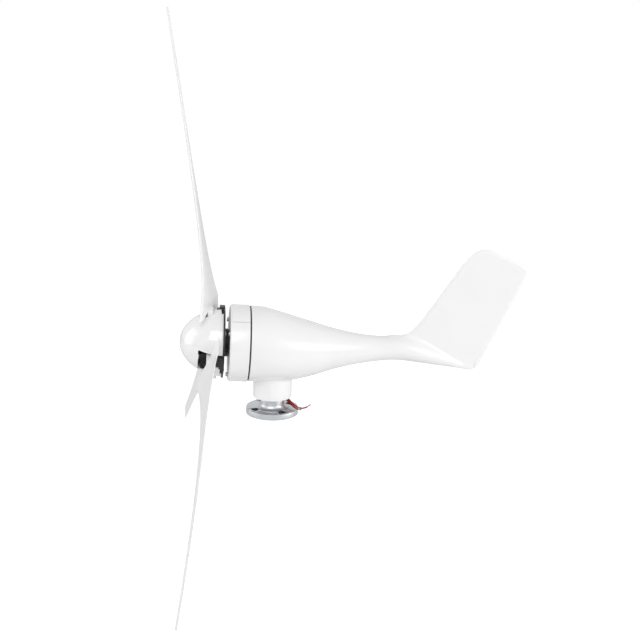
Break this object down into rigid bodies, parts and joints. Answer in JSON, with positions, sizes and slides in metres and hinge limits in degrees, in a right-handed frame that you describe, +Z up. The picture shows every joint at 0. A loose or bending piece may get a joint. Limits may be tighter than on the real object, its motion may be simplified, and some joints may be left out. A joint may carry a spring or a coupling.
{
  "type": "small wind turbine",
  "caption": "Small horizontal-axis wind turbine with swept blades, slotted nose cone, rounded body with a tail fin, and a bolted mast flange it yaws on.",
  "frame": {"origin": "centre of the mast flange's underside, on the yaw axis", "axes": "+Z up along the yaw axis, +X towards the tail fin, -X towards the nose; the rotor axis lies in the XZ plane, tipped 2.2 degrees up towards the nose, and passes 123.5 mm above the origin's level at x = -40.8 mm"},
  "size_m": [0.6138, 0.9433, 0.839],
  "materials": {
    "white_paint": "gloss",
    "white_nylon": "satin",
    "black_cast": "satin",
    "machined": "polished",
    "steel": "satin",
    "lamination": "matte",
    "copper": "satin",
    "magnet": "polished",
    "rubber": "matte",
    "carbon": "matte",
    "black_plastic": "matte",
    "red_sheath": "satin"
  },
  "bodies": {
    "mast_stub": {"mast_flange": "machined", "yaw_spindle": "steel", "yaw_lower_inner_ring": "steel", "yaw_upper_inner_ring": "steel", "spindle_nut": "steel", "slip_ring_drum": "black_plastic", "lead_grommet": "rubber", "slip_ring_1": "copper", "slip_ring_2": "copper", "slip_ring_3": "copper", "lead_1": "red_sheath", "lead_2": "red_sheath", "lead_3": "red_sheath"},
    "nacelle": {"front_shell": "white_paint", "shell_gasket": "rubber", "nacelle_body": "white_paint", "stator_core": "lamination", "stator_winding": "copper", "rear_bearing_plate": "machined", "front_outer_ring": "steel", "rear_outer_ring": "steel", "shell_bolt_1": "steel", "shell_bolt_2": "steel", "shell_bolt_3": "steel", "yaw_lower_outer_ring": "steel", "yaw_upper_outer_ring": "steel", "yaw_circlip": "steel", "brush_holder": "black_plastic", "brush_1": "carbon", "brush_2": "carbon", "brush_3": "carbon"},
    "rotor": {"nose_cone": "white_nylon", "hub_plate": "black_cast", "main_shaft": "steel", "hub_washer": "steel", "hub_nut": "steel", "rotor_core": "lamination", "magnet_ring": "magnet", "front_inner_ring": "steel", "rear_inner_ring": "steel", "nose_screw_1": "steel", "nose_screw_2": "steel", "nose_screw_3": "steel", "blade_1": "white_nylon", "blade_2": "white_nylon", "blade_3": "white_nylon", "blade_clamp_1": "black_cast", "blade_clamp_2": "black_cast", "blade_clamp_3": "black_cast", "blade_bolt_1": "steel", "blade_bolt_2": "steel", "blade_bolt_3": "steel", "blade_bolt_4": "steel", "blade_bolt_5": "steel", "blade_bolt_6": "steel"},
    "front_ball_set": {"front_ball_set": "steel"},
    "rear_ball_set": {"rear_ball_set": "steel"},
    "yaw_lower_ball_set": {"yaw_lower_ball_set": "steel"},
    "yaw_upper_ball_set": {"yaw_upper_ball_set": "steel"}
  },
  "joints": [
    {"name": "nacelle_yaw", "type": "hinge", "parent": "mast_stub", "child": "nacelle", "pos_m": [0, 0, 0.058], "axis": [0, 0, 1], "continuous": true},
    {"name": "rotor_spin", "type": "hinge", "parent": "nacelle", "child": "rotor", "pos_m": [-0.0408, 0, 0.1235], "axis": [0.9993, 0, -0.0384], "continuous": true},
    {"name": "yaw_lower_cage", "type": "hinge", "parent": "mast_stub", "child": "yaw_lower_ball_set", "pos_m": [0, 0, 0.0438], "axis": [0, 0, 1], "continuous": true},
    {"name": "yaw_upper_cage", "type": "hinge", "parent": "mast_stub", "child": "yaw_upper_ball_set", "pos_m": [0, 0, 0.0718], "axis": [0, 0, 1], "continuous": true},
    {"name": "front_cage", "type": "hinge", "parent": "nacelle", "child": "front_ball_set", "pos_m": [-0.06698, 0, 0.12451], "axis": [0.9993, 0, -0.0384], "continuous": true},
    {"name": "rear_cage", "type": "hinge", "parent": "nacelle", "child": "rear_ball_set", "pos_m": [-0.03171, 0, 0.12315], "axis": [0.9993, 0, -0.0384], "continuous": true}
  ],
  "couplings": [
    {"joint": "yaw_lower_cage", "follows": "nacelle_yaw", "ratio": 0.6005},
    {"joint": "yaw_upper_cage", "follows": "nacelle_yaw", "ratio": 0.6005},
    {"joint": "front_cage", "follows": "rotor_spin", "ratio": 0.3889},
    {"joint": "rear_cage", "follows": "rotor_spin", "ratio": 0.3854}
  ]
}
